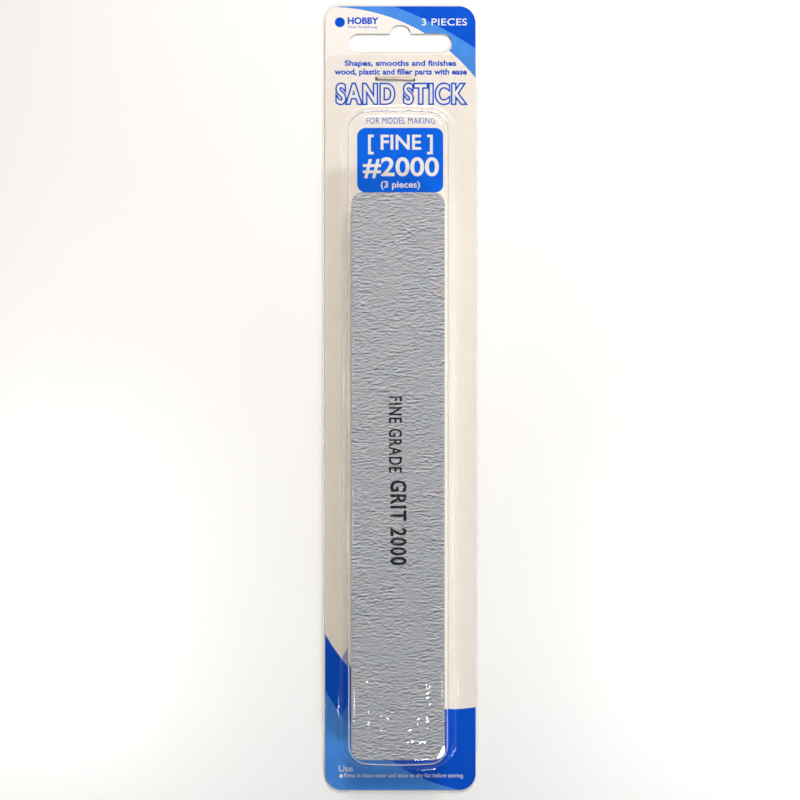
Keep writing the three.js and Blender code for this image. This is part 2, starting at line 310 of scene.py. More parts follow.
def plastic_material():
    """Thin clear thermoformed sheet, clean but with faint draw marks. Lamps shine through it."""
    graph = Graph("clear_sheet")
    draw = graph.noise(0.12, detail=2, stretch=(1, 0.25, 1))
    haze = graph.noise(1.5, detail=5, roughness=0.65)
    glass = graph.principled(
        Base_Color=(1.0, 0.995, 0.985, 1),
        Roughness=graph.spread(haze, (0.45, 0.8), (0.01, 0.04)),
        IOR=1.5,
        Transmission_Weight=1.0,
        Normal=graph.bump(draw, 0.006, 0.2),
    )
    clear = graph.add("ShaderNodeBsdfTransparent", {"Color": (0.99, 0.985, 0.975, 1)}).outputs[0]
    ray = graph.add("ShaderNodeLightPath")
    unseen = graph.math("MAXIMUM", ray.outputs["Is Shadow Ray"], ray.outputs["Is Diffuse Ray"])
    shader = graph.add("ShaderNodeMixShader", {0: unseen, 1: glass, 2: clear}).outputs[0]
    return graph.finish(shader)


def abrasive_material():
    """Grey grit paper with a creped face: painted shade in the creases and a painted highlight on
    the crests, speckled, with faint clouds.
    """
    graph = Graph("grey_abrasive")
    height = graph.add("ShaderNodeAttribute", attribute_name="crease").outputs["Fac"]
    grit = graph.noise(7.0, detail=3, roughness=0.7)
    cloud = graph.noise(0.28, detail=4, roughness=0.6, stretch=(0.7, 1, 1))
    tone = graph.noise(0.1, detail=3)
    # The crease height sets the colour: painted shade in the creases and a painted highlight on the
    # crests.
    crease_shade_and_highlight = graph.blend(height, srgb(66, 66, 70), srgb(238, 238, 243))
    speckled = graph.blend(graph.spread(grit, out=(0.0, 0.25)), crease_shade_and_highlight, srgb(130, 130, 134))
    tint = graph.blend(graph.spread(cloud, (0.35, 0.65)), srgb(240, 248, 255), srgb(252, 250, 250))
    tinted = graph.add(
        "ShaderNodeMix",
        {MIX_FACTOR: 1.0, MIX_FIRST: speckled, MIX_SECOND: tint},
        data_type="RGBA",
        blend_type="MULTIPLY",
    ).outputs[MIX_RESULT]
    colour = graph.blend(graph.spread(tone, out=(0.0, 0.12)), tinted, srgb(186, 187, 191))
    return graph.painted(
        Base_Color=colour,
        Roughness=graph.spread(grit, out=(0.5, 0.75)),
        Normal=graph.bump(grit, 0.02, 0.6),
        Specular_IOR_Level=0.35,
    )


def foam_material():
    """White open-cell foam: pale cell walls round hollows with painted shade."""
    graph = Graph("white_foam")
    cells = graph.add(
        "ShaderNodeTexVoronoi",
        {"Vector": graph.where, "Scale": 3.2 / MM},
        feature="DISTANCE_TO_EDGE",
    ).outputs["Distance"]
    walls = graph.spread(cells, (0.0, 0.25))
    tone = graph.noise(0.3)
    # The cells' hollows are coloured darker than the walls, as painted shade.
    hollow_shade = graph.blend(graph.spread(tone), srgb(222, 222, 218), srgb(232, 231, 226))
    return graph.painted(
        Base_Color=graph.blend(walls, srgb(246, 246, 243), hollow_shade),
        Roughness=graph.spread(tone, out=(0.85, 0.95)),
        Normal=graph.bump(walls, 0.08, 0.8),
    )


def toned_material(name, pattern, first, second, roughness, bump):
    """A surface whose colour, roughness and relief follow one noise pattern."""
    graph = Graph(name)
    tone = graph.noise(*pattern)
    return graph.painted(
        Base_Color=graph.blend(graph.spread(tone), first, second),
        Roughness=graph.spread(tone, out=roughness),
        Normal=graph.bump(tone, *bump),
    )


def steel_material():
    """Drawn staple wire: fine lines along the crown and a slight brown bloom."""
    graph = Graph("staple_steel")
    lines = graph.noise(14.0, detail=2, stretch=(0.08, 1, 1))
    bloom = graph.noise(1.2, detail=3)
    rust = graph.spread(bloom, (0.35, 0.7))
    return graph.painted(
        Base_Color=graph.blend(rust, srgb(150, 142, 132), srgb(118, 106, 92)),
        Metallic=1.0,
        Roughness=graph.spread(lines, out=(0.28, 0.45)),
        Normal=graph.bump(lines, 0.01, 0.5),
    )


def floor_material():
    graph = Graph("pale_floor")
    tone = graph.noise(0.012, detail=3)
    tooth = graph.noise(1.2, detail=3)
    return graph.painted(
        Base_Color=graph.blend(graph.spread(tone), srgb(252, 250, 247), srgb(249, 247, 244)),
        Roughness=0.8,
        Specular_IOR_Level=0.2,
        Normal=graph.bump(tooth, 0.02, 0.3),
    )


def make_world(strength, zenith):
    """A pale room: bright round the horizon, dimmer overhead."""
    graph = Graph("room", "worlds")
    direction = graph.add("ShaderNodeSeparateXYZ", {0: graph.where})
    height = graph.spread(direction.outputs["Z"], SKY_FADE, (1, zenith))
    power = graph.math("MULTIPLY", height, strength)
    sky = graph.add("ShaderNodeBackground", {"Color": SKY_COLOUR, "Strength": power})
    graph.add("ShaderNodeOutputWorld", {"Surface": sky.outputs[0]})
    bpy.context.scene.world = graph.owner


# -------- mesh helpers

WELD = 1e-7  # nearer points are one


def new_object(name, vertices, faces, material, smooth=True, sharp_above=None):
    """A linked object. Vertices are in millimetres in the CAD frame."""
    mesh = bpy.data.meshes.new(name)
    mesh.from_pydata([tuple(float(c) * MM for c in v) for v in vertices], [], faces)
    mesh.update()
    return place_mesh(name, mesh, material, smooth, sharp_above)


def place_mesh(name, mesh, material, smooth=True, sharp_above=None):
    """A linked object of the mesh. Edges that turn by more than sharp_above degrees are sharp."""
    mesh.materials.clear()
    mesh.materials.append(material)
    (mesh.shade_smooth if smooth else mesh.shade_flat)()
    if sharp_above is not None:
        mesh.set_sharp_from_angle(angle=math.radians(sharp_above))
    return new_thing(name, mesh)


def welded(mesh, distance=WELD):
    """An editable copy of the mesh, with its doubled points joined."""
    shape = bmesh.new()
    shape.from_mesh(mesh)
    bmesh.ops.remove_doubles(shape, verts=shape.verts, dist=distance)
    return shape


def put_back(shape, mesh):
    """Writes an editable copy to the mesh, with its faces turned outwards."""
    bmesh.ops.recalc_face_normals(shape, faces=shape.faces)
    shape.to_mesh(mesh)
    shape.free()


def coat(node, material):
    """Gives a CAD node one material."""
    node.data.materials.clear()
    node.data.materials.append(material)


def arc(centre_x, centre_y, radius, start, end, steps):
    """Points on an arc, with its angles in degrees."""
    angles = np.radians(np.linspace(start, end, steps + 1))
    return [(centre_x + radius * math.cos(a), centre_y + radius * math.sin(a)) for a in angles]


def rounded_rectangle(low_x, low_y, high_x, high_y, radius, steps=12):
    """Anticlockwise outline."""
    points = arc(high_x - radius, low_y + radius, radius, -90, 0, steps)
    points += arc(high_x - radius, high_y - radius, radius, 0, 90, steps)
    points += arc(low_x + radius, high_y - radius, radius, 90, 180, steps)
    points += arc(low_x + radius, low_y + radius, radius, 180, 270, steps)
    return points


def band(lower, upper, count):
    """Quads between two rings of count vertices, given the number of each ring's first vertex."""
    pairs = [(i, (i + 1) % count) for i in range(count)]
    return [(lower + i, lower + j, upper + j, upper + i) for i, j in pairs]


def encloses(outline, x, y):
    """Whether the outline goes round each of the points."""
    ax, ay = np.array(outline).T[:, :, None]
    bx, by = np.roll(ax, -1, 0), np.roll(ay, -1, 0)
    crosses = (ay > y) != (by > y)
    crossing_x = ax + (y - ay) * (bx - ax) / np.where(crosses, by - ay, 1)
    return (crosses & (x < crossing_x)).sum(0) % 2 == 1


def filled(outlines, inner_points=()):
    """Vertices and triangles that fill the first outline, less the holes that the others make."""
    points, edges = [], []
    for outline in outlines:
        first = len(points)
        points += outline
        edges += [(first + i, first + (i + 1) % len(outline)) for i in range(len(outline))]
    points += list(inner_points)
    inside_only = 1
    result = delaunay_2d_cdt([Vector(p) for p in points], edges, [], inside_only, WELD)
    filled_points = [tuple(p) for p in result[0]]
    faces = [tuple(face) for face in result[2]]
    for hole in outlines[1:]:
        middles = np.array([[filled_points[i] for i in face] for face in faces]).mean(1)
        kept = ~encloses(hole, middles[:, 0], middles[:, 1])
        faces = [face for face, keep in zip(faces, kept) if keep]
    return filled_points, faces


# -------- print

PRINT_LAYER = 0.012  # thickness of one layer of ink, drawn thick enough to stay apart
LETTER_STEPS = 5  # in each curve of a letter
LABEL_CORNER = 2.8
LABEL_BORDER = 0.3


def letters(name, words, box, weight, spacing):
    """A flat mesh of the words. Their plain shape just fills box = (left, bottom, right, top), and
    weight widens every stroke by that much on each side."""
    source = bpy.data.curves.new(name, "FONT")
    source.body = words
    source.space_character = spacing
    text = new_thing(name, source)
    bpy.context.view_layer.update()
    plain = bpy.data.meshes.new_from_object(text)
    corners = np.array([v.co for v in plain.vertices])
    low, high = corners.min(0), corners.max(0)
    curve = text.to_curve(bpy.context.evaluated_depsgraph_get()).copy()
    bpy.data.meshes.remove(plain)
    bpy.data.objects.remove(text)
    bpy.data.curves.remove(source)

    left, bottom, right, top = box
    wider, taller = (right - left) / (high[0] - low[0]), (top - bottom) / (high[1] - low[1])
    stretch = Matrix.Diagonal((wider, taller, 1, 1))
    to_origin = Matrix.Translation((-low[0], -low[1], 0))
    curve.transform(Matrix.Translation((left, bottom, 0)) @ stretch @ to_origin)
    curve.dimensions = "2D"
    curve.fill_mode = "FRONT"
    curve.resolution_u = LETTER_STEPS
    curve.offset = weight
    outline = new_thing(name, curve)
    bpy.context.view_layer.update()
    mesh = bpy.data.meshes.new_from_object(outline)
    bpy.data.objects.remove(outline)
    bpy.data.curves.remove(curve)
    mesh.transform(Matrix.Scale(MM, 4))
    return mesh


def doubled(shape):
    """Joins a flat shape by walls to a copy in the same place, and returns the copy's vertices."""
    for face in shape.faces:
        if face.normal.z < 0:
            face.normal_flip()
    raised = bmesh.ops.extrude_face_region(shape, geom=list(shape.faces), use_keep_orig=True)
    return {item for item in raised["geom"] if isinstance(item, bmesh.types.BMVert)}


def thicken(mesh, low, high):
    """Turns a flat mesh into a closed one from z = low to z = high."""
    shape = welded(mesh)
    upper = doubled(shape)
    for vertex in shape.verts:
        vertex.co.z = (high if vertex in upper else low) * MM
    put_back(shape, mesh)


def ink_layer(layer):
    """The lowest and highest z of a layer of ink on the card, the first being 1."""
    front = CARD_HIGH.z / MM
    return front + (layer - 1) * PRINT_LAYER, front + layer * PRINT_LAYER


def print_words(name, words, box, material, weight, layer=1, spacing=1.0):
    """Words on the card, fitted to box = (left, bottom, right, top)."""
    mesh = letters(name, words, box, weight, spacing)
    thicken(mesh, *ink_layer(layer))
    piece = place_mesh(name, mesh, material, smooth=False)
    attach(piece, "card")


def print_plate(name, outline, material, layer):
    """A flat printed shape on the card."""
    count = len(outline)
    vertices = [(x, y, z) for z in ink_layer(layer) for x, y in outline]
    faces = [tuple(reversed(range(count))), tuple(range(count, 2 * count))]
    faces += band(0, count, count)
    piece = new_object(name, vertices, faces, material, smooth=False)
    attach(piece, "card")


def make_card_print():
    """All the print on the card's front."""
    blue = ink_material("blue_ink", DARK_BLUE, srgb(0, 76, 196))
    label_blue = ink_material("label_ink", LABEL_BLUE, srgb(0, 96, 226))
    white = ink_material("white_ink", INK_WHITE, srgb(232, 230, 226))
    top = CARD_HIGH.y / MM
    bottom = CARD_LOW.y / MM

    def box(left, right, upper, lower):
        """A box whose upper and lower edge are given from the card's top edge down."""
        return (left, top - lower, right, top - upper)

    title = box(-20.2, 20.4, 24.9, 31.0)
    print_words("title_outline", "SAND STICK", title, blue, 0.6, 1, spacing=1.18)
    print_words("title", "SAND STICK", title, white, 0.1, 2, spacing=1.18)
    taglines = ("Shapes, smooths and finishes", "wood, plastic and filler parts with ease")
    print_words("tagline_upper", taglines[0], box(-17.7, 17.7, 17.3, 19.5), blue, 0.09)
    print_words("tagline_lower", taglines[1], box(-20.9, 21.1, 20.0, 22.3), blue, 0.09)
    subtitle = box(-10.8, 11.0, 35.5, 37.5)
    print_words("subtitle", "FOR MODEL MAKING", subtitle, blue, 0.0, spacing=1.1)
    print_words("corner_code", "3 PIECES", box(6.8, 21.2, 3.9, 6.1), white, 0.03, spacing=1.05)

    print_plate("corner_mark", arc(-19.3, top - 5.1, 1.6, 0, 350, 35), blue, 1)
    print_words("corner_words", "HOBBY", box(-16.7, -7.2, 3.6, 5.6), blue, 0.12)
    print_words("corner_words_small", "fine finishing", box(-16.7, -7.4, 6.2, 7.2), blue, 0.0)

    label = (-13.8, top - 59.4, 13.8, top - 38.8)
    outer = [edge + LABEL_BORDER * out for edge, out in zip(label, (-1, -1, 1, 1))]
    border = rounded_rectangle(*outer, LABEL_CORNER + LABEL_BORDER)
    print_plate("label_border", border, white, 1)
    print_plate("label", rounded_rectangle(*label, LABEL_CORNER), label_blue, 2)
    print_words("label_kind", "[ FINE ]", box(-10.2, 10.2, 41.1, 47.1), white, 0.13, 3)
    print_words("label_grit", "#2000", box(-11.8, 12.1, 48.3, 54.7), white, 0.17, 3)
    print_words("label_count", "(3 pieces)", box(-6.2, 6.2, 55.8, 58.5), white, 0.05, 3)

    print_words("care_heading", "Use", (-19.6, bottom + 5.9, -15.2, bottom + 7.9), white, 0.0)
    print_plate("care_dot", arc(-18.9, bottom + 4.5, 0.6, 0, 345, 23), white, 1)
    care = "Rinse in clean water and leave to dry flat before storing."
    print_words("care_line", care, (-17.9, bottom + 3.6, 20.2, bottom + 5.4), white, 0.0)


# -------- abrasive sheets

CREASE_PITCH = 1.0  # millimetres from one crease to the next
CREASE_SPREAD = 0.7  # how much the pitch varies
CREASE_RUN = 1.75  # how far along a crease keeps its line
CREASE_PATCH = 7  # size of the calmer and rougher patches
CREASE_HEIGHT = 0.14  # from the mean surface to the highest crest
CREASE_LIMIT = 2.3  # the highest crest over the usual one
PRESSED_HEIGHT = 0.07  # the same height on the sheets that the stack presses flat
PRESSED_DROP = 0.04  # how far those sheets' mean surface lies inside the stick's face
PATCH_STRENGTH = 0.22  # how much the patches change the creases' height
FIELD_STEP = 0.1  # spacing of the points at which the creases are worked out
FIELD_SHAPE = (2048, 512)  # how many there are along and across the stick
FIELD_SHIFT = 100  # how far from the first of them the stick's middle lies, both ways
FRONT_SEED = 7
FINE_STEPS = (0.2, 0.4)  # spacing of the front sheet's points along and across the stick
COARSE_STEPS = (0.36, 0.6)  # the same for the other sheets
EDGE_ROLL = 0.5  # width over which a sheet's face rolls down to its cut edge
EDGE_DROP = 0.12

# Print on the front stick
STICK_PRINT_SPACING = 1.15
STICK_PRINT_EDGE = 0.28  # longest edge, so that the print follows the creases
STICK_PRINT_SPLITS = 8  # most rounds of halving the longer edges
STICK_PRINT_PROUD = 0.02
STICK_PRINT_SUNK = 0.03


def creased_sheet(seed):
    """Heights of -1 to 1 on a periodic sheet: creases across the stick that wander and fade."""
    random = np.random.default_rng(seed)
    along = np.abs(np.fft.fftfreq(FIELD_SHAPE[0], FIELD_STEP))[:, None]
    across = np.abs(np.fft.fftfreq(FIELD_SHAPE[1], FIELD_STEP))[None, :]
    pitch = 1 / CREASE_PITCH

    def filtered(weights):
        field = np.fft.ifft2(np.fft.fft2(random.standard_normal(FIELD_SHAPE)) * weights).real
        return field / field.std()

    near_pitch = np.exp(-(((along - pitch) / (CREASE_SPREAD * pitch)) ** 2))
    creases = filtered(near_pitch * np.exp(-((across * CREASE_RUN) ** 1.5)))
    slow_along = np.exp(-((along * CREASE_PATCH) ** 2))
    patches = filtered(slow_along * np.exp(-((across * CREASE_PATCH) ** 2)))
    return np.clip(creases * (1 + PATCH_STRENGTH * patches) / CREASE_LIMIT, -1, 1)


def sampled(field, x, y):
    """The field at points in millimetres, by bilinear interpolation."""
    rows, columns = np.asarray(y) / FIELD_STEP, np.asarray(x) / FIELD_STEP
    row, column = np.floor(rows).astype(int), np.floor(columns).astype(int)
    v, u = rows - row, columns - column

    def at(down, right):
        return field[(row + down) % FIELD_SHAPE[0], (column + right) % FIELD_SHAPE[1]]

    return (at(0, 0) * (1 - u) + at(0, 1) * u) * (1 - v) + (at(1, 0) * (1 - u) + at(1, 1) * u) * v


def face_height(field, x, y, half_width, half_length, pressed=False):
    """Height over the stick's face, and the crease value, at points about the stick's middle."""
    crease = sampled(field, x + FIELD_SHIFT, y + FIELD_SHIFT)
    gap = np.minimum(half_width - np.abs(x), half_length - np.abs(y))
    roll = np.clip(1 - gap / EDGE_ROLL, 0, 1) ** 2
    height, drop = (PRESSED_HEIGHT, PRESSED_DROP) if pressed else (CREASE_HEIGHT, 0)
    return height * crease * (1 - roll) - EDGE_DROP * roll - drop, crease


def half_width_at(y, half_width, half_length):
    """The rounded outline's half width at each y."""
    into = np.clip(np.abs(y) - (half_length - STICK_CORNER), 0, STICK_CORNER)
    return half_width - STICK_CORNER + np.sqrt(STICK_CORNER**2 - into**2)


def sheet_place(node):
    """A CAD sheet's lowest and highest corner, its middle, and half of its width and length."""
    low, high = (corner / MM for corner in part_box(node))
    return low, high, (low + high) / 2, (high.x - low.x) / 2, (high.y - low.y) / 2


def abrasive_sheet(node, seed, row_step, column_step, material, pressed):
    """A creased sheet in place of a CAD abrasive layer, with its grit side away from the core."""
    low, high, middle, half_width, half_length = sheet_place(node)
    faces_front = node.endswith("front_abrasive")
    field = creased_sheet(seed)
    rows = int(2 * half_length / row_step)
    columns = int(2 * half_width / column_step)
    y = np.linspace(-half_length, half_length, rows + 1)[:, None]
    x = np.linspace(-1, 1, columns + 1)[None, :] * half_width_at(y, half_width, half_length)
    y = np.broadcast_to(y, x.shape)
    local_half = np.broadcast_to(half_width_at(y[:, :1], half_width, half_length), x.shape)
    rise, crease = face_height(field, x, y, local_half, half_length, pressed)
    if faces_front:
        grit, glued = high.z + rise, low.z
    else:
        grit, glued = low.z - rise, high.z
    top = np.stack([middle.x + x, middle.y + y, grit], -1).reshape(-1, 3)

    wide = columns + 1
    faces = []
    for r in range(rows):
        for c in range(columns):
            a = r * wide + c
            faces.append((a, a + 1, a + 1 + wide, a + wide))
    rim = list(range(columns))
    rim += [r * wide + columns for r in range(rows)]
    rim += [rows * wide + columns - c for c in range(columns)]
    rim += [(rows - r) * wide for r in range(rows)]
    base = len(top)
    under = top[rim].copy()
    under[:, 2] = glued
    count = len(rim)
    for i in range(count):
        j = (i + 1) % count
        faces.append((rim[i], base + i, base + j, rim[j]))
    faces.append(tuple(base + count - 1 - i for i in range(count)))
    if not faces_front:
        faces = [tuple(reversed(face)) for face in faces]
    sheet = new_object(node + "_sheet", np.vstack([top, under]), faces, material, sharp_above=50)
    # The crease height is stored for the material, which turns it into painted shade in the creases
    # and a painted highlight on the crests.
    value = sheet.data.attributes.new("crease", "FLOAT", "POINT")
    shade = np.concatenate([crease.reshape(-1), np.zeros(count)]) * 0.5 + 0.5
    value.data.foreach_set("value", shade.astype(np.float32))
    return sheet


def print_on_stick(name, words, box, weight, material):
    """Words down the front stick, on its creases. The box is about the stick's middle."""
    left, bottom, right, top = box
    mesh = letters(name, words, (0, 0, top - bottom, right - left), weight, STICK_PRINT_SPACING)
    quarter_turn = Matrix.Rotation(-math.pi / 2, 4, "Z")
    mesh.transform(Matrix.Translation((left * MM, top * MM, 0)) @ quarter_turn)
    shape = welded(mesh)
    for _ in range(STICK_PRINT_SPLITS):
        bmesh.ops.triangulate(shape, faces=shape.faces)
        longest = STICK_PRINT_EDGE * MM
        long_edges = [edge for edge in shape.edges if edge.calc_length() > longest]
        if not long_edges:
            break
        bmesh.ops.subdivide_edges(shape, edges=long_edges, cuts=1)
    bmesh.ops.triangulate(shape, faces=shape.faces)
    upper = doubled(shape)
    field = creased_sheet(FRONT_SEED)
    _, high, middle, half_width, half_length = sheet_place("front_stick_front_abrasive")
    vertices = list(shape.verts)
    x = np.array([v.co.x / MM for v in vertices])
    y = np.array([v.co.y / MM for v in vertices])
    rise, _ = face_height(field, x, y, half_width, half_length)
    for vertex, vx, vy, height in zip(vertices, x, y, rise):
        proud = STICK_PRINT_PROUD if vertex in upper else -STICK_PRINT_SUNK
        vertex.co = Vector((middle.x + vx, middle.y + vy, high.z + height + proud)) * MM
    put_back(shape, mesh)
    piece = place_mesh(name, mesh, material, sharp_above=50)
    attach(piece, "front_stick")


def make_abrasives():
    """Six creased sheets, all but the front one pressed flatter, and the front stick's print."""
    material = abrasive_material()
    seed = FRONT_SEED
    for stick in reversed(STICKS):
        for side in ("front", "back"):
            node = f"{stick}_stick_{side}_abrasive"
            in_front = seed == FRONT_SEED
            steps = FINE_STEPS if in_front else COARSE_STEPS
            sheet = abrasive_sheet(node, seed, *steps, material, pressed=not in_front)
            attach(sheet, f"{stick}_stick")
            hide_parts(node)
            seed += 1
    black = ink_material("black_ink", srgb(26, 26, 28), srgb(44, 44, 46), 0.55)
    small, large = (-2.8, 1.3, 1.2, 25.0), (-2.25, -27.7, 2.55, -1.4)
    print_on_stick("stick_words_small", "FINE GRADE", small, 0.08, black)
    print_on_stick("stick_words_large", "GRIT 2000", large, 0.16, black)


# -------- foam pads

PORE_DEPTH = 0.06
FOAM_HOLLOW = 0.10
FOAM_LEVELS = 5
FOAM_STEP = 0.3  # spacing of points round the cut edge
FOAM_CORNER_STEPS = 14
FOAM_SEED = 100


def foam_pad(node, seed, material):
    """A pad whose cut edge is slightly hollow and pitted with open cells."""
    low, high = (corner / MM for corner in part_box(node))
    outline = []
    corners = (low.x, low.y, high.x, high.y)
    corner_points = rounded_rectangle(*corners, STICK_CORNER, FOAM_CORNER_STEPS)
    for i, (ax, ay) in enumerate(corner_points):
        bx, by = corner_points[(i + 1) % len(corner_points)]
        pieces = max(1, round(math.hypot(bx - ax, by - ay) / FOAM_STEP))
        for k in range(pieces):
            outline.append((ax + (bx - ax) * k / pieces, ay + (by - ay) * k / pieces))
    count = len(outline)
    points = np.array(outline)
    ahead = np.roll(points, -1, 0) - np.roll(points, 1, 0)
    inward = np.stack([-ahead[:, 1], ahead[:, 0]], -1)
    inward /= np.linalg.norm(inward, axis=1, keepdims=True)
    pits = np.random.default_rng(seed).random((FOAM_LEVELS, count)) ** 2
    vertices = []
    for level in range(FOAM_LEVELS):
        share = level / (FOAM_LEVELS - 1)
        hollow = FOAM_HOLLOW * 4 * share * (1 - share)
        depth = hollow + PORE_DEPTH * pits[level] * (0 < level < FOAM_LEVELS - 1)
        ring = points + inward * np.reshape(depth, (-1, 1))
        z = low.z + (high.z - low.z) * share
        vertices += [(px, py, z) for px, py in ring]
    faces = [tuple(reversed(range(count)))]
    faces.append(tuple(range((FOAM_LEVELS - 1) * count, FOAM_LEVELS * count)))
    for level in range(FOAM_LEVELS - 1):
        faces += band(level * count, (level + 1) * count, count)
    return new_object(node + "_pad", vertices, faces, material, sharp_above=60)


def make_foam():
    material = foam_material()
    for order, stick in enumerate(STICKS):
        for side in ("back", "front"):
            node = f"{stick}_stick_{side}_foam"
            pad = foam_pad(node, FOAM_SEED + 2 * order + (side == "front"), material)
            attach(pad, f"{stick}_stick")
            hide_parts(node)


def finish_stick_nodes():
    """Cores and adhesive films keep their CAD shape."""
    board = ("core_board", (1.4, 4, 0.5, (1, 0.2, 1)), srgb(244, 244, 241), srgb(226, 226, 222))
    film = ("adhesive_film", (0.6, 4), srgb(222, 214, 184), srgb(206, 196, 160))
    materials = {
        "core": toned_material(*board, (0.4, 0.55), (0.01, 0.4)),
        "adhesive": toned_material(*film, (0.35, 0.6), (0.02, 0.5)),
    }
    for name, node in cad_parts.items():
        for kind, material in materials.items():
            if kind in name:
                coat(node, material)


# -------- clear cover

SIDE = CARD_HIGH.x / MM
LOWER_END = CARD_LOW.y / MM
UPPER_END = COVER_HIGH.y / MM
FOLD = (COVER_HIGH.x - CARD_HIGH.x) / MM  # radius of the folded edges
FRONT = 2 * FOLD  # the flat sheet's front, as the folded edges lie on z = 0
POCKET_TOP = COVER_HIGH.z / MM
RAIL_LOW, RAIL_HIGH = LOWER_END + RAIL_BOTTOM_SETBACK, UPPER_END - RAIL_TOP_SETBACK
HALF_FOLD = BOTTOM_FOLD_WIDTH / 2

POCKET_ROW = 1.6  # spacing of points along the pocket's long sides
POCKET_CORNER_STEPS = 20
POCKET_END_STEPS = 16
BOW_FADE = 2  # length over which an end's bow fades into a side
FOOT_LEVELS = 9
WALL_LEVELS = 8
RIM_LEVELS = 13
STRIP = 0.2  # width of the level strips that keep the shading even beside the foot and the rim
DRAWN_SHEET = 0.3  # the sheet's thickness after forming
COVER_WELD = 1e-6  # metres

# The pocket's top is slightly uneven
UNEVEN_SEED = 5
UNEVEN_WAVES = 40
UNEVEN_SCALE = 4.0  # usual length of a wave
UNEVEN_SPREAD = 0.35  # how much the lengths vary
UNEVEN_HEIGHT = 0.0015
UNEVEN_FADE = 0.6  # depth under the top within which the unevenness fades out
COARSE_GRID = 0.8  # spacing of the top's points
FINE_GRID = 0.25  # the same where it carries the panel and the flattened corners
FINE_MARGIN = 1  # how far the fine points go past the panel

# A plain frame, ring and bars faintly pressed into the pocket's top, about the panel's middle
PANEL_UP = 17.2  # from the pocket's lower end
PANEL_SIZE = (19.4, 22.4)
PANEL_CORNER = 1.5
PANEL_RING = (-0.4, 3.6, 5.0)  # middle and radius
PANEL_BARS = (  # two ends of each
    (-6.6, -3.9, -3.0, -3.9),
    (1.0, -3.9, 6.6, -3.9),
    (-6.6, -7.3, -0.6, -7.3),
    (2.2, -7.3, 6.6, -7.3),
)
PANEL_LINE = 1.1  # half of a line's width
PANEL_DEPTH = 0.018
PANEL_UNEVEN = 0.0095  # height of the unevenness inside the panel

# The pocket's lower corners are slightly flattened by a tilted plane
CORNER_CUT_START = 3.25  # from the middle of the corner's arc
CORNER_CUT_SLOPE = 0.32
CORNER_CUT_TURN = math.radians(30)


def pocket_levels():
    """Height of each ring of the pocket, and how far it lies outside the straight wall: a narrow
    level strip, foot, wall, rim and another level strip."""
    quarter = math.pi / 2
    levels = [(FRONT, POCKET_FOOT + STRIP)]
    for turn in np.linspace(0, quarter, FOOT_LEVELS):
        rise, out = 1 - math.cos(turn), 1 - math.sin(turn)
        levels.append((FRONT + POCKET_FOOT * rise, POCKET_FOOT * out))
    low, high = FRONT + POCKET_FOOT, POCKET_TOP - POCKET_EDGE
    levels += [(low + (high - low) * i / WALL_LEVELS, 0) for i in range(1, WALL_LEVELS)]
    for turn in np.linspace(0, quarter, RIM_LEVELS):
        drop, out = 1 - math.sin(turn), math.cos(turn) - 1
        levels.append((POCKET_TOP - POCKET_EDGE * drop, POCKET_EDGE * out))
    levels.append((POCKET_TOP, -POCKET_EDGE - STRIP))
    return levels


def pocket_ring(z, width, height, radius, centre):
    """One ring of the pocket: a rounded rectangle with bowed ends."""
    right, up = width / 2 - radius, height / 2 - radius
    side_steps = int(2 * up / POCKET_ROW)
    end_shares = [1 - 2 * i / POCKET_END_STEPS for i in range(1, POCKET_END_STEPS)]
    side_shares = [1 - 2 * i / side_steps for i in range(1, side_steps)]
    ring = []
    for corner, (sx, sy) in enumerate(((1, -1), (1, 1), (-1, 1), (-1, -1))):
        for i in range(POCKET_CORNER_STEPS + 1):
            turn = (corner - 1 + i / POCKET_CORNER_STEPS) * math.pi / 2
            ring.append((sx * right + radius * math.cos(turn), sy * up + radius * math.sin(turn)))
        if sx == sy:
            ring += [(sx * right * share, sy * height / 2) for share in end_shares]
        else:
            ring += [(sx * width / 2, sy * up * share) for share in side_shares]
    bowed = []
    for x, y in ring:
        at_end = min(1, max(0, (abs(y) - up + BOW_FADE) / BOW_FADE))
        bow = POCKET_CROWN * (1 - (2 * x / width) ** 2) * at_end
        bowed.append((centre[0] + x, centre[1] + y + math.copysign(bow, y), z))
    return bowed


def top_grid(half_x, half_y, corner, fine_top, centre):
    """Evenly spaced points inside the pocket's flat top, closer together below fine_top."""
    rows = [(y, FINE_GRID) for y in np.arange(FINE_GRID - half_y, fine_top, FINE_GRID)]
    coarse_low = fine_top + COARSE_GRID / 2
    rows += [(y, COARSE_GRID) for y in np.arange(coarse_low, half_y, COARSE_GRID)]
    points = []
    for y, step in rows:
        for x in np.arange(-half_x + step, half_x, step):
            past_x, past_y = abs(x) - (half_x - corner), abs(y) - (half_y - corner)
            in_corner = past_x > 0 and past_y > 0
            if in_corner and math.hypot(past_x, past_y) > corner - step / 2:
                continue
            points.append((centre[0] + x, centre[1] + y))
    return points


def sheet_outline():
    """The flat sheet: as wide as the card along the folds, and wider at the lower corners."""
    wide, corner = SIDE + CORNER_OVERHANG, CARD_CORNER + CORNER_OVERHANG
    lower, rounding = LOWER_END - CORNER_OVERHANG, COVER_TOP_CORNER
    outline = [(-HALF_FOLD, LOWER_END), (HALF_FOLD, LOWER_END), (HALF_FOLD, lower)]
    outline += arc(wide - corner, lower + corner, corner, -90, 0, 14)
    outline += [(wide, RAIL_LOW), (SIDE, RAIL_LOW), (SIDE, RAIL_HIGH)]
    outline += arc(SIDE - rounding, UPPER_END - rounding, rounding, 0, 90, 12)
    outline += arc(rounding - SIDE, UPPER_END - rounding, rounding, 90, 180, 12)
    outline += [(-SIDE, RAIL_HIGH), (-SIDE, RAIL_LOW), (-wide, RAIL_LOW)]
    outline += arc(corner - wide, lower + corner, corner, 180, 270, 14)
    outline += [(-HALF_FOLD, lower)]
    return outline


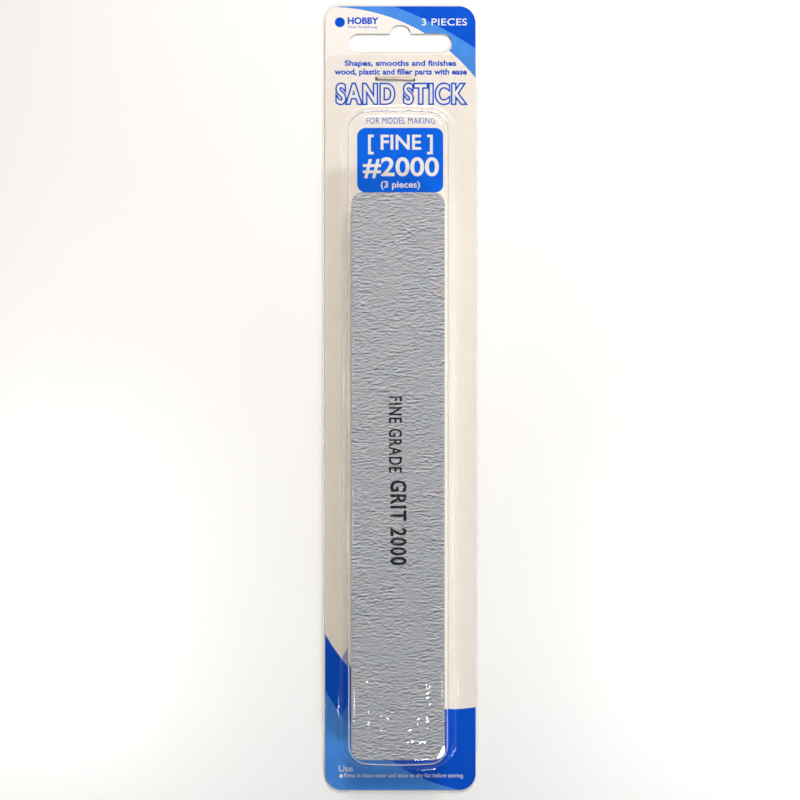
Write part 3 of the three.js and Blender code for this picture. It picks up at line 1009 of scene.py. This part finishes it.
def folded_edge(start, end, outward):
    """A half round, and a flange under the card, from start to end of the fold."""
    section = arc(0, FOLD, FOLD, 90, -90, 16) + [(-RAIL_DEPTH, 0)]
    vertices = []
    for out, z in section:
        for x, y in (start, end):
            vertices.append((x + outward[0] * out, y + outward[1] * out, z))
    faces = [(a, a + 2, a + 3, a + 1) for a in range(0, len(vertices) - 2, 2)]
    return vertices, faces


def unevenness(x, y):
    """Smooth bumps of about -1 to 1 over a plane, from waves of random direction."""
    random = np.random.default_rng(UNEVEN_SEED)
    length = UNEVEN_SCALE * np.exp(random.normal(0, UNEVEN_SPREAD, UNEVEN_WAVES))
    heading = random.uniform(0, 2 * math.pi, UNEVEN_WAVES)
    phase = random.uniform(0, 2 * math.pi, UNEVEN_WAVES)
    kx, ky = 2 * math.pi / length * np.cos(heading), 2 * math.pi / length * np.sin(heading)
    share = length / length.sum()
    total = np.zeros(np.shape(x))
    for i in range(UNEVEN_WAVES):
        total += share[i] * np.sin(kx[i] * x + ky[i] * y + phase[i])
    return total * math.sqrt(2 * UNEVEN_WAVES)


def panel_depth(x, y):
    """How deep the pressed lines are at points about the panel's middle."""
    half_x, half_y = PANEL_SIZE[0] / 2 - PANEL_CORNER, PANEL_SIZE[1] / 2 - PANEL_CORNER
    past_x, past_y = np.abs(x) - half_x, np.abs(y) - half_y
    outside = np.hypot(np.maximum(past_x, 0), np.maximum(past_y, 0))
    away = np.abs(outside + np.minimum(np.maximum(past_x, past_y), 0) - PANEL_CORNER)
    ring_x, ring_y, radius = PANEL_RING
    away = np.minimum(away, np.abs(np.hypot(x - ring_x, y - ring_y) - radius))
    for left, low, right, high in PANEL_BARS:
        from_bar = np.hypot(x - np.clip(x, left, right), y - np.clip(y, low, high))
        away = np.minimum(away, from_bar)
    return PANEL_DEPTH * (1 + np.cos(math.pi * np.minimum(away / PANEL_LINE, 1))) / 2


def top_sunk(x, y, z, panel_y):
    """How far points about the pocket's middle sink, by the unevenness and the panel's lines."""
    at_top = np.clip((z - (POCKET_TOP - UNEVEN_FADE)) / UNEVEN_FADE, 0, 1)
    panel_share = np.maximum(np.abs(x) / PANEL_SIZE[0], np.abs(y - panel_y) / PANEL_SIZE[1])
    height = UNEVEN_HEIGHT + (PANEL_UNEVEN - UNEVEN_HEIGHT) * (panel_share < 0.5)
    return at_top * (height * (1 + unevenness(x, y)) + panel_depth(x, y - panel_y))


def corner_cut(x, y, corner_x, corner_y):
    """How far under the top the plane lies that flattens a lower corner, whose arc's middle is
    (corner_x, corner_y)."""
    across, down = np.abs(x) - corner_x, corner_y - y
    out = across * math.cos(CORNER_CUT_TURN) + down * math.sin(CORNER_CUT_TURN)
    return CORNER_CUT_SLOPE * np.maximum(out - CORNER_CUT_START, 0)


def cover_surface():
    """Points and faces of the cover's outer surface: pocket, flat sheet and three folded edges."""
    stick_low, stick_high = STICK_LOW / MM, STICK_HIGH / MM
    length = stick_high.y - stick_low.y + POCKET_FREE_LENGTH + STICK_END_GAP + 2 * SHEET
    centre = (POCKET_OFFSET_X, stick_low.y - STICK_END_GAP - SHEET + length / 2)
    rings = []
    for z, flare in pocket_levels():
        grow = (POCKET_TOP - z) * POCKET_DRAFT + flare
        width, height = POCKET_TOP_WIDTH + 2 * grow, length + 2 * grow
        rings.append(pocket_ring(z, width, height, POCKET_CORNER + grow, centre))
    count = len(rings[0])
    vertices, faces = [vertex for ring in rings for vertex in ring], []
    for level in range(len(rings) - 1):
        faces += band(level * count, (level + 1) * count, count)

    def add(new_vertices, new_faces):
        first = len(vertices)
        vertices.extend(new_vertices)
        faces.extend(tuple(first + i for i in face) for face in new_faces)

    inset = POCKET_EDGE + STRIP
    half_x, half_y = POCKET_TOP_WIDTH / 2 - inset, length / 2 - inset
    corner = POCKET_CORNER - inset
    panel_y = PANEL_UP - length / 2
    fine_top = panel_y + PANEL_SIZE[1] / 2 + FINE_MARGIN
    rim, foot = ([(x, y) for x, y, _ in ring] for ring in (rings[-1], rings[0]))
    points, triangles = filled([rim], top_grid(half_x, half_y, corner, fine_top, centre))
    add([(x, y, POCKET_TOP) for x, y in points], triangles)
    points, triangles = filled([sheet_outline(), foot])
    add([(x, y, FRONT) for x, y in points], triangles)
    add(*folded_edge((SIDE, RAIL_LOW), (SIDE, RAIL_HIGH), (1, 0)))
    add(*folded_edge((-SIDE, RAIL_HIGH), (-SIDE, RAIL_LOW), (-1, 0)))
    add(*folded_edge((-HALF_FOLD, LOWER_END), (HALF_FOLD, LOWER_END), (0, -1)))

    points = np.array(vertices, float)
    x, y = points[:, 0] - centre[0], points[:, 1] - centre[1]
    points[:, 2] -= top_sunk(x, y, points[:, 2], panel_y)
    plane = POCKET_TOP - corner_cut(x, y, half_x - corner, corner - half_y)
    points[:, 2] = np.minimum(points[:, 2], plane)
    return points, faces


def make_cover():
    """The clear cover: its outer surface, thickened inwards."""
    material = plastic_material()
    surface = new_object("surface", *cover_surface(), material)
    put_back(welded(surface.data, COVER_WELD), surface.data)
    wall = surface.modifiers.new("wall", "SOLIDIFY")
    wall.thickness = DRAWN_SHEET * MM
    wall.offset = -1
    wall.use_even_offset = True
    bpy.context.view_layer.update()
    thickened = surface.evaluated_get(bpy.context.evaluated_depsgraph_get())
    solid = bpy.data.meshes.new_from_object(thickened)
    bpy.data.objects.remove(surface)
    solid.name = "clear_cover"
    cover = place_mesh("clear_cover", solid, material, sharp_above=35)
    normals = cover.modifiers.new("normals", "WEIGHTED_NORMAL")
    normals.keep_sharp = True
    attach(cover, "blister")
    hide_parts("blister_shell")


# -------- staple


def make_staple():
    """Round-edged wire: crown over the cover, legs through the card, ends folded in behind it."""
    low, high = STAPLE_LOW.z / MM, STAPLE_HIGH.z / MM
    half, wire = STAPLE_CROWN / 2, WIRE_THICKNESS / 2
    bend, reach = STAPLE_BEND - wire, half - STAPLE_BEND
    path = [(half - CLINCH, low + wire)]
    path += arc(reach, low + wire + bend, bend, -90, 0, 10)
    path += arc(reach, high - wire - bend, bend, 0, 90, 10)
    path += arc(-reach, high - wire - bend, bend, 90, 180, 10)
    path += arc(-reach, low + wire + bend, bend, 180, 270, 10)
    path += [(CLINCH - half, low + wire)]
    points = np.array(path)
    ahead = np.gradient(points, axis=0)
    ahead /= np.linalg.norm(ahead, axis=1, keepdims=True)
    section = rounded_rectangle(-wire, -WIRE_WIDTH / 2, wire, WIRE_WIDTH / 2, WIRE_ROUNDING, 5)
    tilt = math.radians(STAPLE_TILT)
    middle = (STAPLE_LOW + STAPLE_HIGH) / 2 / MM
    vertices = []
    for (px, pz), (tx, tz) in zip(points, ahead):
        for across, sideways in section:
            x, y, z = px + tz * across, sideways, pz - tx * across
            turned_x = x * math.cos(tilt) - y * math.sin(tilt)
            turned_y = x * math.sin(tilt) + y * math.cos(tilt)
            vertices.append((middle.x + turned_x, middle.y + turned_y, z))
    count = len(section)
    faces = [tuple(range(count))]
    last = (len(points) - 1) * count
    faces.append(tuple(last + i for i in reversed(range(count))))
    for near in range(0, last, count):
        far = near + count
        for i in range(count):
            j = (i + 1) % count
            faces.append((near + i, far + i, far + j, near + j))
    staple = new_object("staple_wire", vertices, faces, steel_material(), sharp_above=50)
    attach(staple, "staple")
    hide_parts("staple")


# -------- floor


FLOOR_REACH = 1500
FLOOR_DROP = 0.05  # how far under the pack the floor lies


def make_floor():
    reach = FLOOR_REACH
    corners = [(-reach, -reach, 0), (reach, -reach, 0), (reach, reach, 0), (-reach, reach, 0)]
    floor = new_object("floor", corners, [(0, 1, 2, 3)], floor_material(), smooth=False)
    floor.location.z = -FLOOR_DROP * MM


# -------- scene

bpy.context.scene.view_settings.view_transform = "Standard"
make_camera()
make_world(strength=0.39, zenith=0.08)
area_light("key", (0.659, -0.606, 0.943), 0.16, 4.8, (0.92, 0.985, 1.09))
area_light("key_diffuser", (0.67, -0.61, 0.92), 0.3, 1.4, (0.93, 0.985, 1.07))
area_light("fill", (0.05, 0.255, 0.4), 0.16, 1.46, (1.0, 0.97, 0.93))
area_light("lamp_low", (0.045, -0.520, 1.9), 0.045, 0.6, LAMP_COLOUR)
area_light("lamp_left", (-0.160, -0.360, 1.9), 0.035, 0.25, LAMP_COLOUR)
area_light("lamp_right", (0.137, -0.340, 1.9), 0.04, 0.4, LAMP_COLOUR)
floor_wash("wash_low_left", (-0.12, -0.085), 7.5)
floor_wash("wash_left", (-0.12, 0.01), 2.4)
floor_wash("wash_low_right", (0.122, -0.085), 6.0)
floor_wash("wash_right", (0.122, 0.01), 1.3)
make_floor()

coat(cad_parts["card_board"], card_material())
make_card_print()
finish_stick_nodes()
make_foam()
make_abrasives()
make_staple()
make_cover()
